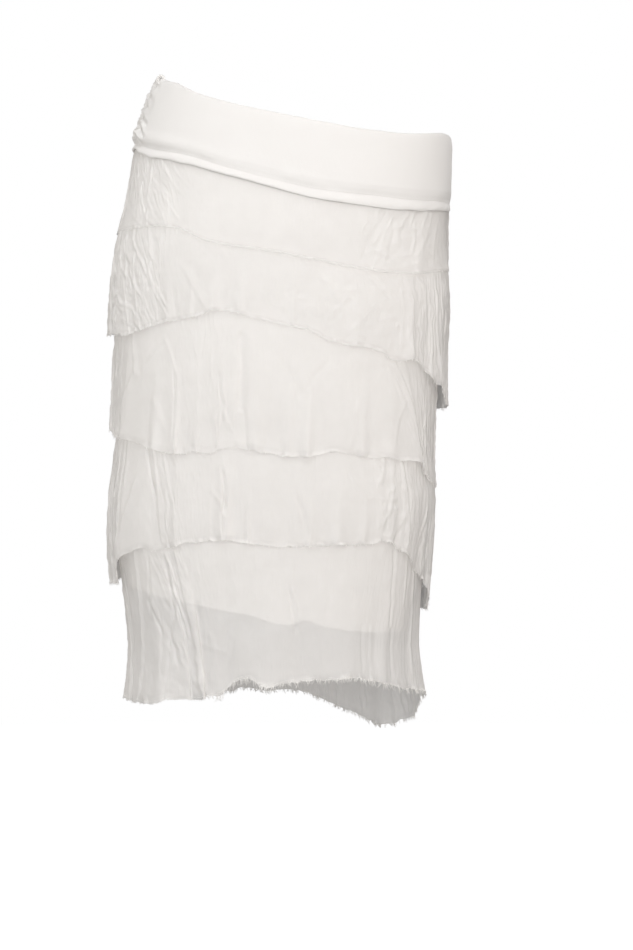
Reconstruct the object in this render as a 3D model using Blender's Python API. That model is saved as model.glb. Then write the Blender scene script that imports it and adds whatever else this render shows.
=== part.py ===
"""Tiered ruffle skirt: a fold-over jersey yoke, a jersey slip and five raw-edged chiffon tiers.

The skirt keeps the hollow form that it has when it is worn. The script works in metres with +Z up,
and the tables give millimetres and degrees. The front faces -Y, and +X is the wearer's left.
The origin is the middle of the hips, where the yoke holds on to the wearer.

An angle runs round the skirt: 0 is the middle of the front, 90 the wearer's left side, -90 the
wearer's right side and 180 the middle of the back. A stand-off is a distance outside the body line.
"""

import math
from bisect import bisect_right

import bmesh
import bpy
from mathutils import Vector

MM = 0.001

# Driving sizes, in millimetres.
CLOTH_WALL = 1.0
SEAM_GAP = 0.4
SEWN_GAP = 0.85
RAGGED_EDGE = 1.1
SLIP_TUCK = 14.0
TIER_TUCK = 0.9
ROLL_GAP = 0.4

# The side seams, in degrees: the ruched one is on the wearer's right.
RUCHED_SEAM = -78.0
PLAIN_SEAM = 102.0

# The body line, a general figure's hips: height, centre_x, half_width, half_depth.
BODY_LINE = (
    (120, 20, 128, 92),
    (82, 11, 139, 98),
    (51, 4, 149, 102),
    (20, 1, 155, 106),
    (0, 0, 158, 108),
    (-51, -5, 161, 112),
    (-102, -12, 165, 115),
    (-153, -12.5, 166.5, 116),
    (-204, -15, 162, 116),
    (-255, -17, 159, 115),
    (-306, -19, 158, 113),
    (-357, -20, 159, 111),
    (-408, -22, 153, 109),
    (-459, -22, 143, 106),
    (-510, -23, 133.5, 104),
    (-560, -24, 132, 102),
    (-660, -25, 131, 100),
)

# The yoke's edges: angle, top, crease (its lower edge), roll (how far the roll under it shows).
YOKE_EDGES = (
    (-135, 66, -8, 6),
    (-90, 74, 4, 6),
    (-57, 62, -7, 7),
    (-37, 46, -17, 6),
    (-21, 35, -30, 5),
    (-5, 25, -42, 6),
    (11, 17, -51, 8),
    (30, 10, -55, 11),
    (50, 9, -58, 10),
    (68, 13, -57, 9),
    (90, 13, -55, 7),
    (135, 23, -47, 7),
    (180, 45, -28, 7),
)

# The yoke's doubled wall from its folded top to its lower edge: level, inner, outer stand-off.
YOKE_WALL = (
    (0.0, 2.2, 3.0),
    (0.02, 1.7, 4.1),
    (0.07, 1.6, 4.6),
    (0.3, 1.6, 4.4),
    (0.6, 1.7, 4.6),
    (0.78, 1.9, 5.0),
    (0.9, 2.0, 6.0),
    (0.97, 2.0, 6.5),
    (1.0, 2.6, 5.6),
)

# The roll, the turned edge of the yoke's inner layer: level, inner, outer stand-off.
ROLL_WALL = (
    (0.0, 4.0, 4.8),
    (0.2, 3.9, 5.8),
    (0.5, 3.9, 6.1),
    (0.8, 3.9, 5.8),
    (1.0, 4.0, 4.8),
)

# The gathers that the ruched seam draws into the yoke: level, depth, reach from the seam.
RUCHES = (
    (0.04, 2.4, 12),
    (0.16, 1.7, 19),
    (0.29, 2.0, 15),
    (0.41, 1.6, 21),
    (0.54, 1.9, 16),
    (0.67, 1.5, 19),
    (0.79, 1.7, 13),
    (0.90, 1.3, 15),
)
RUCHE_LEVEL_WIDTH = 0.038
RUCHE_SLANT = 0.5
RUCHED_LEVELS = 25
RUCHED_STRIPS = (5, 10, 16, 24)

# The slip's raw hem: angle, height.
SLIP_HEM = (
    (-135, -450),
    (-90, -441),
    (-56, -450),
    (-31, -460),
    (-8, -470),
    (6, -479),
    (15, -475),
    (24, -482),
    (41, -487),
    (90, -490),
    (135, -490),
    (180, -474),
)

# The line each tier is sewn to the slip on: its middle height, its rise to the wearer's right and
# its rise to the front. The first tier is sewn on under the yoke's roll instead.
SEWING_LINES = {
    2: (-82, 18, 0),
    3: (-178, 25, 22),
    4: (-290, 26, 14),
    5: (-392, 8, 24),
}

# Each tier's hem: angle, height, stand-off.
TIER_HEMS = {
    1: (
        (-135, -100, 5),
        (-90, -88, 3.5),
        (-52, -84, 4),
        (-36, -88, 4),
        (-26, -100, 4),
        (5, -116, 4),
        (26, -127, 4),
        (49, -131, 4),
        (80, -124, 4),
        (120, -122, 5),
        (180, -116, 6),
    ),
    2: (
        (-150, -224, 9),
        (-120, -206, 10),
        (-90, -190, 11),
        (-61, -191, 8),
        (-46, -182, 6),
        (-30, -176, 5.5),
        (-22, -170, 5.5),
        (-12, -174, 5.5),
        (-5, -180, 5.5),
        (10, -189, 5.5),
        (19, -201, 5.5),
        (36, -208, 5.5),
        (45, -219, 6),
        (54, -218, 7),
        (67, -235, 12),
        (78, -244, 12),
        (90, -259, 13),
        (120, -262, 12),
        (150, -250, 10),
        (180, -238, 9),
    ),
    3: (
        (-130, -318, 8),
        (-90, -287, 7),
        (-74, -293, 8),
        (-59, -296, 7),
        (-48, -304, 6),
        (-34, -310, 5.5),
        (-21, -308, 5.5),
        (-13, -303, 5.5),
        (-7, -309, 5.5),
        (14, -314, 5.5),
        (22, -310, 5.5),
        (36, -313, 5.5),
        (50, -318, 6),
        (61, -319, 7),
        (71, -334, 6),
        (78, -340, 3.5),
        (95, -346, 4.5),
        (130, -352, 9),
        (180, -343, 9),
    ),
    4: (
        (-140, -452, 11),
        (-108, -445, 12),
        (-90, -436, 14),
        (-75, -413, 12),
        (-63, -408, 9),
        (-45, -406, 6.5),
        (-30, -399, 5.5),
        (-10, -396, 5.5),
        (4, -403, 5.5),
        (14, -400, 5.5),
        (37, -401, 5.5),
        (45, -399, 6),
        (57, -410, 7),
        (66, -424, 8),
        (78, -436, 9),
        (90, -460, 11),
        (100, -469, 11),
        (115, -471, 10),
        (180, -462, 9),
    ),
    5: (
        (-150, -561, 11),
        (-120, -563, 11),
        (-90, -557, 11),
        (-65, -561, 10),
        (-45, -556, 9),
        (-28, -552, 8),
        (-20, -547, 7),
        (-9, -532, 7),
        (0, -540, 7),
        (10, -536, 7),
        (28, -533, 7),
        (45, -537, 8),
        (63, -544, 12),
        (78, -548, 18),
        (90, -553, 21),
        (110, -579, 19),
        (128, -591, 15),
        (147, -580, 12),
        (168, -559, 11),
    ),
}

# Each tier's gathers at its hem: angle, width, depth (below 0 it is a trough), lean, drift (how
# many degrees it wanders from the top to the hem).
TIER_FOLDS = {
    1: (
        (-163, 10, 2.4, 2, 2),
        (-141, 8, -1.8, 0, 0),
        (-118, 10, 2.4, 0, -2),
        (-88, 8, 1.8, 2, 0),
        (-66, 6, 1.6, 2, 4),
        (-50, 6, 1.4, 2, 6),
        (-27, 7, -1.0, 0, 5),
        (12, 14, 1.0, 0, 0),
        (44, 7, 1.6, -3, -10),
        (60, 6, 1.6, -2, -6),
        (80, 7, 2.0, 0, 0),
        (114, 10, 2.4, 2, 2),
        (135, 9, -1.8, 0, 0),
        (158, 10, 2.6, -2, 0),
    ),
    2: (
        (-166, 10, 4.0, 3, 0),
        (-146, 9, -3.2, 0, 2),
        (-126, 11, 4.4, -2, 0),
        (-102, 10, 3.2, 2, 0),
        (-72, 8, 2.4, 3, 3),
        (-47, 7, -1.6, 0, 2),
        (-28, 9, 2.0, 2, 3),
        (-6, 10, -1.3, 0, 0),
        (20, 12, 1.8, -2, 0),
        (47, 6, 2.6, 3, 4),
        (60, 6, -2.6, 0, 2),
        (72, 7, 3.0, 2, 0),
        (90, 9, 3.2, -2, 0),
        (112, 8, -3.0, 0, 0),
        (130, 10, 4.4, 2, 0),
        (151, 11, 4.0, 3, -2),
        (173, 9, -3.2, 0, 0),
    ),
    3: (
        (-168, 11, 4.2, 3, 0),
        (-149, 9, -3.2, 0, -2),
        (-130, 10, 4.2, 2, 0),
        (-108, 10, 3.6, -2, 0),
        (-86, 8, 2.8, 0, 0),
        (-61, 6, 2.6, -4, -5),
        (-42, 6, 1.9, 3, 4),
        (-20, 5, 1.8, 0, 0),
        (-12, 5, -1.9, 0, 1),
        (10, 13, 1.3, 0, 0),
        (32, 8, -1.2, 0, 6),
        (46, 6, 2.8, 4, 16),
        (68, 7, -2.4, 0, 6),
        (88, 8, 1.2, 2, 0),
        (112, 9, -3.0, 0, 0),
        (131, 11, 4.4, -3, 2),
        (152, 10, 3.8, 3, 0),
        (172, 9, -3.0, 0, 0),
    ),
    4: (
        (-170, 10, -3.2, 0, 0),
        (-152, 11, 4.4, 3, 2),
        (-132, 9, -3.0, 0, 0),
        (-112, 11, 4.2, 0, 0),
        (-90, 8, 3.4, 2, 0),
        (-65, 7, 3.0, -4, -4),
        (-51, 5, -2.0, 0, 6),
        (-36, 9, 1.6, 0, 3),
        (-18, 5, 2.2, 2, 0),
        (2, 10, -1.3, 0, 3),
        (24, 12, 1.5, 0, 0),
        (43, 6, 2.6, 3, 2),
        (54, 5, -1.8, 0, 2),
        (65, 6, 2.8, 2, 2),
        (84, 8, 3.4, -3, 0),
        (113, 9, -3.0, 0, 0),
        (131, 11, 4.4, 3, 0),
        (155, 12, 4.0, -3, 0),
    ),
    5: (
        (-173, 12, 4.6, 3, 0),
        (-151, 10, -3.6, 0, 0),
        (-131, 11, 4.6, -3, 2),
        (-110, 9, -3.0, 0, 0),
        (-90, 9, 3.6, 2, 0),
        (-70, 8, -2.6, 0, 2),
        (-55, 6, 3.0, 4, 5),
        (-44, 5, 3.2, 6, 9),
        (-35, 5, 3.8, 7, 6),
        (-17, 8, -2.6, 0, 0),
        (-4, 9, 2.2, 0, 0),
        (16, 12, -1.8, 0, 0),
        (36, 11, 2.2, 0, 0),
        (53, 6, 2.8, 3, -2),
        (68, 6, -2.6, 0, 5),
        (84, 8, 3.6, 3, 4),
        (109, 10, 4.2, -3, 2),
        (128, 9, -3.6, 0, 0),
        (147, 12, 4.8, 3, 0),
        (167, 9, -3.2, 0, 0),
    ),
}
HANG_POWER = 1.4
FOLD_GROWTH = 1.3

# How finely the walls are divided.
PLAIN_STEP = 7.5
SLIP_STEP = 9.0
TIER_STEP = 16.0
DEEP_FOLD = 2.4
DEEP_FOLD_MARKS = (-1.5, -0.75, 0.0, 0.75, 1.5)
SHALLOW_FOLD_MARKS = (-1.2, 0.0, 1.2)
LEAST_STEP_SHARE = 0.72
TIER_LEVELS = (0.0, 0.17, 0.4, 0.65, 0.86, 1.0)
LONG_TIER_LEVELS = (0.0, 0.13, 0.28, 0.46, 0.68, 0.87, 1.0)
LONG_TIER = 5
SLIP_LEVELS = (0.0, 0.06, 0.14, 0.23, 0.33, 0.44, 0.56, 0.67, 0.76, 0.84, 0.92, 1.0)

JERSEY = ("white_jersey", (0.86, 0.85, 0.83), 0.75)
CHIFFON = ("white_chiffon", (0.80, 0.79, 0.77), 0.55)


def read_smoothly(rows, column, place):
    """Read a column on a smooth curve through a table's rows, which are in order of place."""
    places = [row[0] for row in rows]
    after = min(max(bisect_right(places, place), 2), len(rows) - 2)
    near = rows[after - 2 : after + 2]
    x0, x1, x2, x3 = (row[0] for row in near)
    v0, v1, v2, v3 = (row[column] for row in near)
    span = x2 - x1
    share = min(max((place - x1) / span, 0.0), 1.0)
    leaving = (v2 - v0) / (x2 - x0) * span
    arriving = (v3 - v1) / (x3 - x1) * span
    square, cube = share**2, share**3
    return (
        v1 * (2 * cube - 3 * square + 1)
        + leaving * (cube - 2 * square + share)
        + v2 * (3 * square - 2 * cube)
        + arriving * (cube - square)
    )


def closed_round(rows):
    """A table of angles, with rows repeated past each end so that it closes on itself."""
    before = tuple((row[0] - 360, *row[1:]) for row in rows[-3:])
    after = tuple((row[0] + 360, *row[1:]) for row in rows[:3])
    return before + tuple(rows) + after


def read_straight(rows, column, place):
    """Read a column on straight lines between a table's rows."""
    for low, high in zip(rows, rows[1:]):
        if place <= high[0]:
            break
    share = min(max((place - low[0]) / (high[0] - low[0]), 0.0), 1.0)
    return low[column] + (high[column] - low[column]) * share


BODY_UPWARDS = tuple(reversed(BODY_LINE))
YOKE_ROUND = closed_round(YOKE_EDGES)
SLIP_ROUND = closed_round(SLIP_HEM)
HEMS_ROUND = {tier: closed_round(rows) for tier, rows in TIER_HEMS.items()}
FOLDS_ROUND = {tier: closed_round(rows) for tier, rows in TIER_FOLDS.items()}


def body_ring(height):
    """The body line's centre_x, half_width and half_depth at a height."""
    return tuple(read_smoothly(BODY_UPWARDS, column, height) for column in (1, 2, 3))


def around(angle):
    """An angle brought back between -180 and 180 degrees."""
    return (angle + 180.0) % 360.0 - 180.0


def body_point(angle, height, stand_off, slide=0.0):
    """A point outside the body line, slid sideways along it."""
    centre, half_width, half_depth = body_ring(height)
    turn = math.radians(angle)
    sine, cosine = math.sin(turn), math.cos(turn)
    sideways = Vector((half_width * cosine, half_depth * sine, 0.0)).normalized()
    place = Vector(
        (
            centre + (half_width + stand_off) * sine,
            -(half_depth + stand_off) * cosine,
            height,
        )
    )
    return (place + sideways * slide) * MM


def millimetres_per_degree(angle, height):
    """How far apart on the body line two points one degree apart are."""
    _, half_width, half_depth = body_ring(height)
    turn = math.radians(angle)
    return math.radians(math.hypot(half_width * math.cos(turn), half_depth * math.sin(turn)))


def yoke_crease(angle):
    """The height of the yoke's lower edge."""
    return read_smoothly(YOKE_ROUND, 2, around(angle))


def ruching(angle, level, height):
    """How far the ruched seam's gathers lift the yoke's face."""
    away = abs(around(angle - RUCHED_SEAM)) * millimetres_per_degree(RUCHED_SEAM, height)
    top, crease = (read_smoothly(YOKE_ROUND, column, around(angle)) for column in (1, 2))
    slanted = level - RUCHE_SLANT * away / (top - crease)
    return sum(
        depth * math.exp(-((away / reach) ** 2) - ((slanted - middle) / RUCHE_LEVEL_WIDTH) ** 2)
        for middle, depth, reach in RUCHES
    )


def yoke_point(angle, level, side):
    """A point of the yoke, on its inner side (0) or its face (1)."""
    top = read_smoothly(YOKE_ROUND, 1, around(angle))
    height = top + (yoke_crease(angle) - top) * level
    stand_off = read_straight(YOKE_WALL, 1 + side, level)
    if side:
        stand_off += ruching(angle, level, height)
    return body_point(angle, height, stand_off)


def roll_point(angle, level, side):
    """A point of the roll that shows under the yoke."""
    top = yoke_crease(angle) - ROLL_GAP
    height = top - read_smoothly(YOKE_ROUND, 3, around(angle)) * level
    return body_point(angle, height, read_straight(ROLL_WALL, 1 + side, level))


def slip_point(angle, level, side):
    """A point of the slip, which hangs straight from inside the yoke."""
    top = yoke_crease(angle) + SLIP_TUCK
    hem = read_smoothly(SLIP_ROUND, 1, around(angle))
    return body_point(angle, top + (hem - top) * level, CLOTH_WALL * side)


def tier_top(tier, angle):
    """The height of the line on which a tier is sewn on."""
    if tier == 1:
        return yoke_crease(angle) - TIER_TUCK
    middle, rise_right, rise_front = SEWING_LINES[tier]
    turn = math.radians(angle)
    return middle - rise_right * math.sin(turn) + rise_front * math.cos(turn)


def ragged(tier, angle):
    """The unevenness of a torn edge."""
    turn = math.radians(angle)
    return RAGGED_EDGE * 0.5 * (math.sin(41 * turn + tier) + math.sin(67 * turn + 2 * tier))


def tier_place(tier, angle, level):
    """A point of a tier's inner side; angle follows the weave, which drifts as the cloth hangs."""
    folds = FOLDS_ROUND[tier]
    level = max(level, 0.0)
    now = around(angle + level * read_smoothly(folds, 4, around(angle)))
    top = tier_top(tier, now)
    hem = read_smoothly(HEMS_ROUND[tier], 1, now) + ragged(tier, angle)
    height = top + (hem - top) * level
    hanging = read_smoothly(HEMS_ROUND[tier], 2, now) * level**HANG_POWER
    stand_off = CLOTH_WALL + SEWN_GAP + hanging
    slide = 0.0
    grown = level**FOLD_GROWTH
    for middle, width, depth, lean, _ in folds:
        away = (around(angle) - middle) * millimetres_per_degree(angle, height)
        shape = grown * math.exp(-((away / width) ** 2))
        stand_off += depth * shape
        slide += lean * shape
    return body_point(now, height, stand_off, slide)


def tier_point(tier, angle, level, side):
    """A point of a tier, on its inner side (0) or its face (1), one wall further out."""
    place = tier_place(tier, angle, level)
    if not side:
        return place
    reach = 0.02
    across = tier_place(tier, angle + 0.2, level) - tier_place(tier, angle - 0.2, level)
    down = tier_place(tier, angle, level + reach) - tier_place(tier, angle, level - reach)
    return place + down.cross(across).normalized() * CLOTH_WALL * MM


def seam_to_seam(panel):
    """The first and last angle of a front or back panel, half a seam's gap inside the seams."""
    inset = 0.5 * SEAM_GAP / millimetres_per_degree(RUCHED_SEAM, 0.0)
    if panel == "front":
        return RUCHED_SEAM + inset, PLAIN_SEAM - inset
    return PLAIN_SEAM + inset, RUCHED_SEAM + 360.0 - inset


def plain_angles(panel, step=PLAIN_STEP):
    """Even angles from seam to seam."""
    first, last = seam_to_seam(panel)
    count = round((last - first) / step)
    return [first + (last - first) * i / count for i in range(count + 1)]


def yoke_angles(panel):
    """Even angles, with narrow strips beside the ruched seam."""
    first, last = seam_to_seam(panel)
    per_degree = millimetres_per_degree(RUCHED_SEAM, 0.0)
    strips = [width / per_degree for width in RUCHED_STRIPS]
    if panel == "front":
        return [first, *(first + s for s in strips), *plain_angles(panel)[2:]]
    return [*plain_angles(panel)[:-2], *(last - s for s in reversed(strips)), last]


def tier_angles(tier, panel):
    """Angles that follow the folds of a tier, with even ones in the gaps between them."""
    first, last = seam_to_seam(panel)
    middle_height = tier_top(tier, 0.0)
    marks = []
    for middle, width, depth, *_ in FOLDS_ROUND[tier]:
        shift = 360.0 if panel == "back" and middle < RUCHED_SEAM else 0.0
        per_degree = millimetres_per_degree(middle, middle_height)
        for mark in DEEP_FOLD_MARKS if abs(depth) >= DEEP_FOLD else SHALLOW_FOLD_MARKS:
            marks.append((middle + shift + mark * width / per_degree, width / per_degree))
    angles = [first]
    for angle, width in sorted(marks):
        if angle - angles[-1] >= LEAST_STEP_SHARE * width and last - angle >= 1.0:
            angles.append(angle)
    angles.append(last)
    filled = [first]
    for angle in angles[1:]:
        gap = (angle - filled[-1]) * millimetres_per_degree(angle, middle_height)
        parts = math.ceil(gap / TIER_STEP)
        start = filled[-1]
        filled += [start + (angle - start) * i / parts for i in range(1, parts + 1)]
    return filled


def even_levels(count):
    """Even levels from the top edge to the lower edge."""
    return tuple(i / count for i in range(count + 1))


def zip_lines(mesh, left, right):
    """Fill the strip between two lines of points with triangles, by the shorter crossing."""
    i = j = 0
    while i < len(left) - 1 or j < len(right) - 1:
        if i == len(left) - 1:
            step_left = False
        elif j == len(right) - 1:
            step_left = True
        else:
            left_step = (left[i + 1].co - right[j].co).length
            step_left = left_step <= (left[i].co - right[j + 1].co).length
        if step_left:
            mesh.faces.new((left[i], right[j], left[i + 1]))
            i += 1
        else:
            mesh.faces.new((left[i], right[j], right[j + 1]))
            j += 1


def fill_between_columns(mesh, columns):
    """Fill a side of a wall between each column of points and the next."""
    for left, right in zip(columns, columns[1:]):
        zip_lines(mesh, left, right)


def cloth_panel(name, point, angles, face_levels, inner_levels, finish):
    """A closed wall of cloth: a face, an inner side and the four edges that join them.

    point(angle, level, side) gives its points, and each side's levels are worked out by angle.
    """
    mesh = bmesh.new()
    sides = []
    for side, levels in ((0, inner_levels), (1, face_levels)):
        sides.append(
            [[mesh.verts.new(point(angle, level, side)) for level in levels(angle)] for angle in angles]
        )
    inner, face = sides
    fill_between_columns(mesh, face)
    fill_between_columns(mesh, inner)
    for end in (0, -1):
        zip_lines(mesh, face[end], inner[end])
        zip_lines(mesh, [column[end] for column in face], [column[end] for column in inner])
    bmesh.ops.recalc_face_normals(mesh, faces=mesh.faces)
    data = bpy.data.meshes.new(name)
    mesh.to_mesh(data)
    mesh.free()
    data.materials.append(cloth_material(*finish))
    data.shade_smooth()
    piece = bpy.data.objects.new(name, data)
    bpy.context.scene.collection.objects.link(piece)
    return piece


def cloth_material(name, colour, roughness):
    """A plain cloth finish, made once for each name."""
    if name in bpy.data.materials:
        return bpy.data.materials[name]
    material = bpy.data.materials.new(name)
    material.use_nodes = True
    shader = material.node_tree.nodes["Principled BSDF"]
    shader.inputs["Base Color"].default_value = (*colour, 1.0)
    shader.inputs["Roughness"].default_value = roughness
    shader.inputs["Metallic"].default_value = 0.0
    return material


def make_yoke(panel):
    """Half of the fold-over yoke, with closer points where the ruched seam gathers it."""
    reach = (RUCHED_STRIPS[-1] + 1.0) / millimetres_per_degree(RUCHED_SEAM, 0.0)
    plain = tuple(row[0] for row in YOKE_WALL)

    def face_levels(angle):
        beside_ruching = abs(around(angle - RUCHED_SEAM)) < reach
        return even_levels(RUCHED_LEVELS) if beside_ruching else plain

    angles = yoke_angles(panel)
    cloth_panel(f"yoke_{panel}", yoke_point, angles, face_levels, lambda _: plain, JERSEY)


def make_roll(panel):
    """Half of the roll under the yoke's lower edge."""
    levels = tuple(row[0] for row in ROLL_WALL)
    cloth_panel(
        f"yoke_roll_{panel}", roll_point, plain_angles(panel), lambda _: levels, lambda _: levels, JERSEY
    )


def make_slip(panel):
    """Half of the slip that carries the tiers."""
    cloth_panel(
        f"slip_{panel}",
        slip_point,
        plain_angles(panel, SLIP_STEP),
        lambda _: SLIP_LEVELS,
        lambda _: SLIP_LEVELS,
        JERSEY,
    )


def make_tier(tier, panel):
    """Half of one tier."""
    levels = LONG_TIER_LEVELS if tier == LONG_TIER else TIER_LEVELS

    def point(angle, level, side):
        return tier_point(tier, angle, level, side)

    cloth_panel(
        f"tier_{tier}_{panel}",
        point,
        tier_angles(tier, panel),
        lambda _: levels,
        lambda _: levels,
        CHIFFON,
    )


for old in list(bpy.data.objects):
    bpy.data.objects.remove(old)

for half in ("front", "back"):
    make_yoke(half)
    make_roll(half)
    make_slip(half)
    for number in TIER_HEMS:
        make_tier(number, half)
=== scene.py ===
import math

import bpy
import numpy as np
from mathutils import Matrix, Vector


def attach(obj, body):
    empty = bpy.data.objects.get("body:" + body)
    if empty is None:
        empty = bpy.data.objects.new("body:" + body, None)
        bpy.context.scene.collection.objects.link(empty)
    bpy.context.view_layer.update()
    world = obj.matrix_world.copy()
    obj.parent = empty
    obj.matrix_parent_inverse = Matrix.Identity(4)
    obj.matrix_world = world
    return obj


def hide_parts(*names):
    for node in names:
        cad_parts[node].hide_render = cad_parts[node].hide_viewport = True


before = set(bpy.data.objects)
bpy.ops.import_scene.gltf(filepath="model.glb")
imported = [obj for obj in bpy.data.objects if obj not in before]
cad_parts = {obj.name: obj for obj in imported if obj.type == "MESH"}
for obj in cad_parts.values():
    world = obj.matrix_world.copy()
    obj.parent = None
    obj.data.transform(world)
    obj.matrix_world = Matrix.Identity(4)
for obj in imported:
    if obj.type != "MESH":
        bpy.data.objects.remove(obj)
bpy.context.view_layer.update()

# --------------------------------------------------------------
# The room: a plain white floor at the wearer's feet, wide soft lights in front, above and on each
# side, pale air all round, and a camera at thigh height that looks straight on.
# --------------------------------------------------------------
FLOOR_HEIGHT = -0.98
FLOOR_RADIUS = 5.0
FLOOR_GLOW = 0.85
CAMERA_PLACE = (0.02397, -3.2, -0.3315)
VIEW_HEIGHT = 0.969
SENSOR_HEIGHT = 36.0
ROOM_LIGHT = 0.3
LAMPS = (
    # name, x, y, z, width, power, red, green, blue
    ("front_light", 0.0, -3.2, 0.6, 2.4, 41.0, 1.0, 1.0, 1.0),
    ("right_light", 2.2, -2.4, 0.4, 2.0, 27.0, 1.0, 0.87, 0.76),
    ("left_light", -3.0, -0.3, 0.3, 2.0, 30.0, 1.0, 0.93, 0.85),
    ("top_light", 0.3, -2.0, 2.4, 1.2, 38.0, 1.0, 1.0, 1.0),
)

scene = bpy.context.scene
scene.view_settings.view_transform = "Standard"

camera = bpy.data.objects.new("camera", bpy.data.cameras.new("camera"))
camera.location = CAMERA_PLACE
camera.rotation_euler = (math.radians(90.0), 0.0, 0.0)
camera.data.sensor_fit = "VERTICAL"
camera.data.sensor_height = SENSOR_HEIGHT
camera.data.lens = SENSOR_HEIGHT * -CAMERA_PLACE[1] / VIEW_HEIGHT
scene.collection.objects.link(camera)
scene.camera = camera

skirt_middle = Vector((0.0, 0.0, -0.28))
for name, x, y, z, width, power, *colour in LAMPS:
    lamp = bpy.data.objects.new(name, bpy.data.lights.new(name, "AREA"))
    lamp.data.size = width
    lamp.data.energy = power
    lamp.data.color = colour
    lamp.location = (x, y, z)
    lamp.rotation_euler = (skirt_middle - lamp.location).to_track_quat("-Z", "Y").to_euler()
    scene.collection.objects.link(lamp)


def set_inputs(tree, node, values):
    """Give a node's inputs plain values, or the outputs of other nodes."""
    for socket, value in dict(values).items():
        if isinstance(value, bpy.types.NodeSocket):
            tree.links.new(value, node.inputs[socket])
        else:
            node.inputs[socket].default_value = value


def add_node(tree, kind, values=(), **settings):
    """Place a shader node with its settings and inputs."""
    node = tree.nodes.new("ShaderNode" + kind)
    for setting, value in settings.items():
        setattr(node, setting, value)
    set_inputs(tree, node, values)
    return node


def reckon(tree, operation, *inputs, **settings):
    """The result of a math node."""
    node = add_node(tree, "Math", enumerate(inputs), operation=operation, **settings)
    return node.outputs["Value"]


def in_plain_sight(tree, dim, bright):
    """The bright value for what the camera sees directly, and the dim one for all else."""
    path = add_node(tree, "LightPath").outputs
    layers = (path["Is Camera Ray"], path["Transparent Depth"])
    direct = reckon(tree, "SUBTRACT", *layers, use_clamp=True)
    value = add_node(tree, "MapRange", {"Value": direct, "To Min": dim, "To Max": bright})
    return value.outputs["Result"]


room = bpy.data.worlds.new("room")
room.use_nodes = True
scene.world = room
tree = room.node_tree
brightness = in_plain_sight(tree, ROOM_LIGHT, 1.0)
air = {"Color": (1.0, 1.0, 1.0, 1.0), "Strength": brightness}
set_inputs(tree, tree.nodes["Background"], air)

floor_paint = bpy.data.materials.new("white_floor")
floor_paint.use_nodes = True
tree = floor_paint.node_tree
paint = {
    "Base Color": (0.45, 0.45, 0.45, 1.0),
    "Roughness": 0.9,
    "Specular IOR Level": 0.1,
    "Emission Color": (1.0, 1.0, 1.0, 1.0),
    "Emission Strength": in_plain_sight(tree, 0.0, FLOOR_GLOW),
}
set_inputs(tree, tree.nodes["Principled BSDF"], paint)

bpy.ops.mesh.primitive_circle_add(
    vertices=96, radius=FLOOR_RADIUS, fill_type="NGON", location=(0.0, 0.0, FLOOR_HEIGHT)
)
floor = bpy.context.object
floor.name = "floor"
floor.data.materials.append(floor_paint)

# --------------------------------------------------------------
# The slip: a straight tube of white cotton jersey that hangs from inside the yoke and carries
# the tiers. It is cut from two panels, joined at the wearer's sides, and its hem is left raw.
# --------------------------------------------------------------
MM = 0.001
RUCHED_SEAM = -78.0
PLAIN_SEAM = 102.0

# The hips and thighs that the skirt is worn on: height, centre_x, half_width, half_depth.
BODY_LINE = (
    (-660, -25, 131, 100), (-560, -24, 132, 102), (-510, -23, 133.5, 104), (-459, -22, 143, 106),
    (-408, -22, 153, 109), (-357, -20, 159, 111), (-306, -19, 158, 113), (-255, -17, 159, 115),
    (-204, -15, 162, 116), (-153, -12.5, 166.5, 116), (-102, -12, 165, 115), (-51, -5, 161, 112),
    (0, 0, 158, 108), (20, 1, 155, 106), (51, 4, 149, 102), (82, 11, 139, 98), (120, 20, 128, 92),
)

# The yoke's edges: angle, top, crease (its lower edge), roll (how far the roll under it shows).
YOKE_EDGES = (
    (-135, 66, -7, 7), (-90, 74, 5, 7), (-57, 62, -5.5, 9), (-37, 46, -15.5, 8.5), (-21, 35, -28.5, 7.5),
    (-5, 25, -40.5, 8), (11, 17, -50, 9.5), (30, 10, -54.5, 11.5), (50, 9, -57.5, 11),
    (68, 13, -56.5, 10), (90, 13, -55, 8), (135, 23, -47, 8), (180, 45, -28, 8),
)

# The slip's raw hem: angle, height.
SLIP_HEM = (
    (-135, -450), (-90, -441), (-56, -450), (-31, -460), (-8, -470), (6, -479), (15, -475), (24, -482),
    (41, -487), (90, -490), (135, -490), (180, -474),
)
SLIP_TUCK = 14.0
SLIP_STAND_OFF = 0.5
SLIP_CURL = 0.9
SLIP_SEAM_HEIGHT = 0.35
SIDE_MM_PER_DEGREE = 2.4
SLIP_CUT = (0.84, 0.52)
SLIP_COLUMNS = 300
SLIP_ROWS = 110
JERSEY_WHITE = (0.835, 0.828, 0.818)
JERSEY_SHADE = (0.805, 0.795, 0.782)
JERSEY_LETS_THROUGH = 0.22


def read_smoothly(rows, column, place):
    """Read a table's column on a smooth curve through its rows, which are in order of place."""
    table = np.array(rows, float)
    places, values = table[:, 0], table[:, column]
    after = np.clip(np.searchsorted(places, place, side="right"), 2, len(places) - 2)
    x0, x1, x2, x3 = (places[after + k] for k in (-2, -1, 0, 1))
    v0, v1, v2, v3 = (values[after + k] for k in (-2, -1, 0, 1))
    share = np.clip((place - x1) / (x2 - x1), 0.0, 1.0)
    leaving = (v2 - v0) / (x2 - x0) * (x2 - x1)
    arriving = (v3 - v1) / (x3 - x1) * (x2 - x1)
    square, cube = share**2, share**3
    return (
        v1 * (2 * cube - 3 * square + 1)
        + leaving * (cube - 2 * square + share)
        + v2 * (3 * square - 2 * cube)
        + arriving * (cube - square)
    )


def go_round(columns):
    """The angles of a ring's columns, and the same as shares of the way round."""
    angles = np.linspace(-180.0, 180.0, columns, endpoint=False)[None, :]
    return angles, angles / 360.0


def around(angle):
    """An angle brought back between -180 and 180 degrees."""
    return (angle + 180.0) % 360.0 - 180.0


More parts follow.
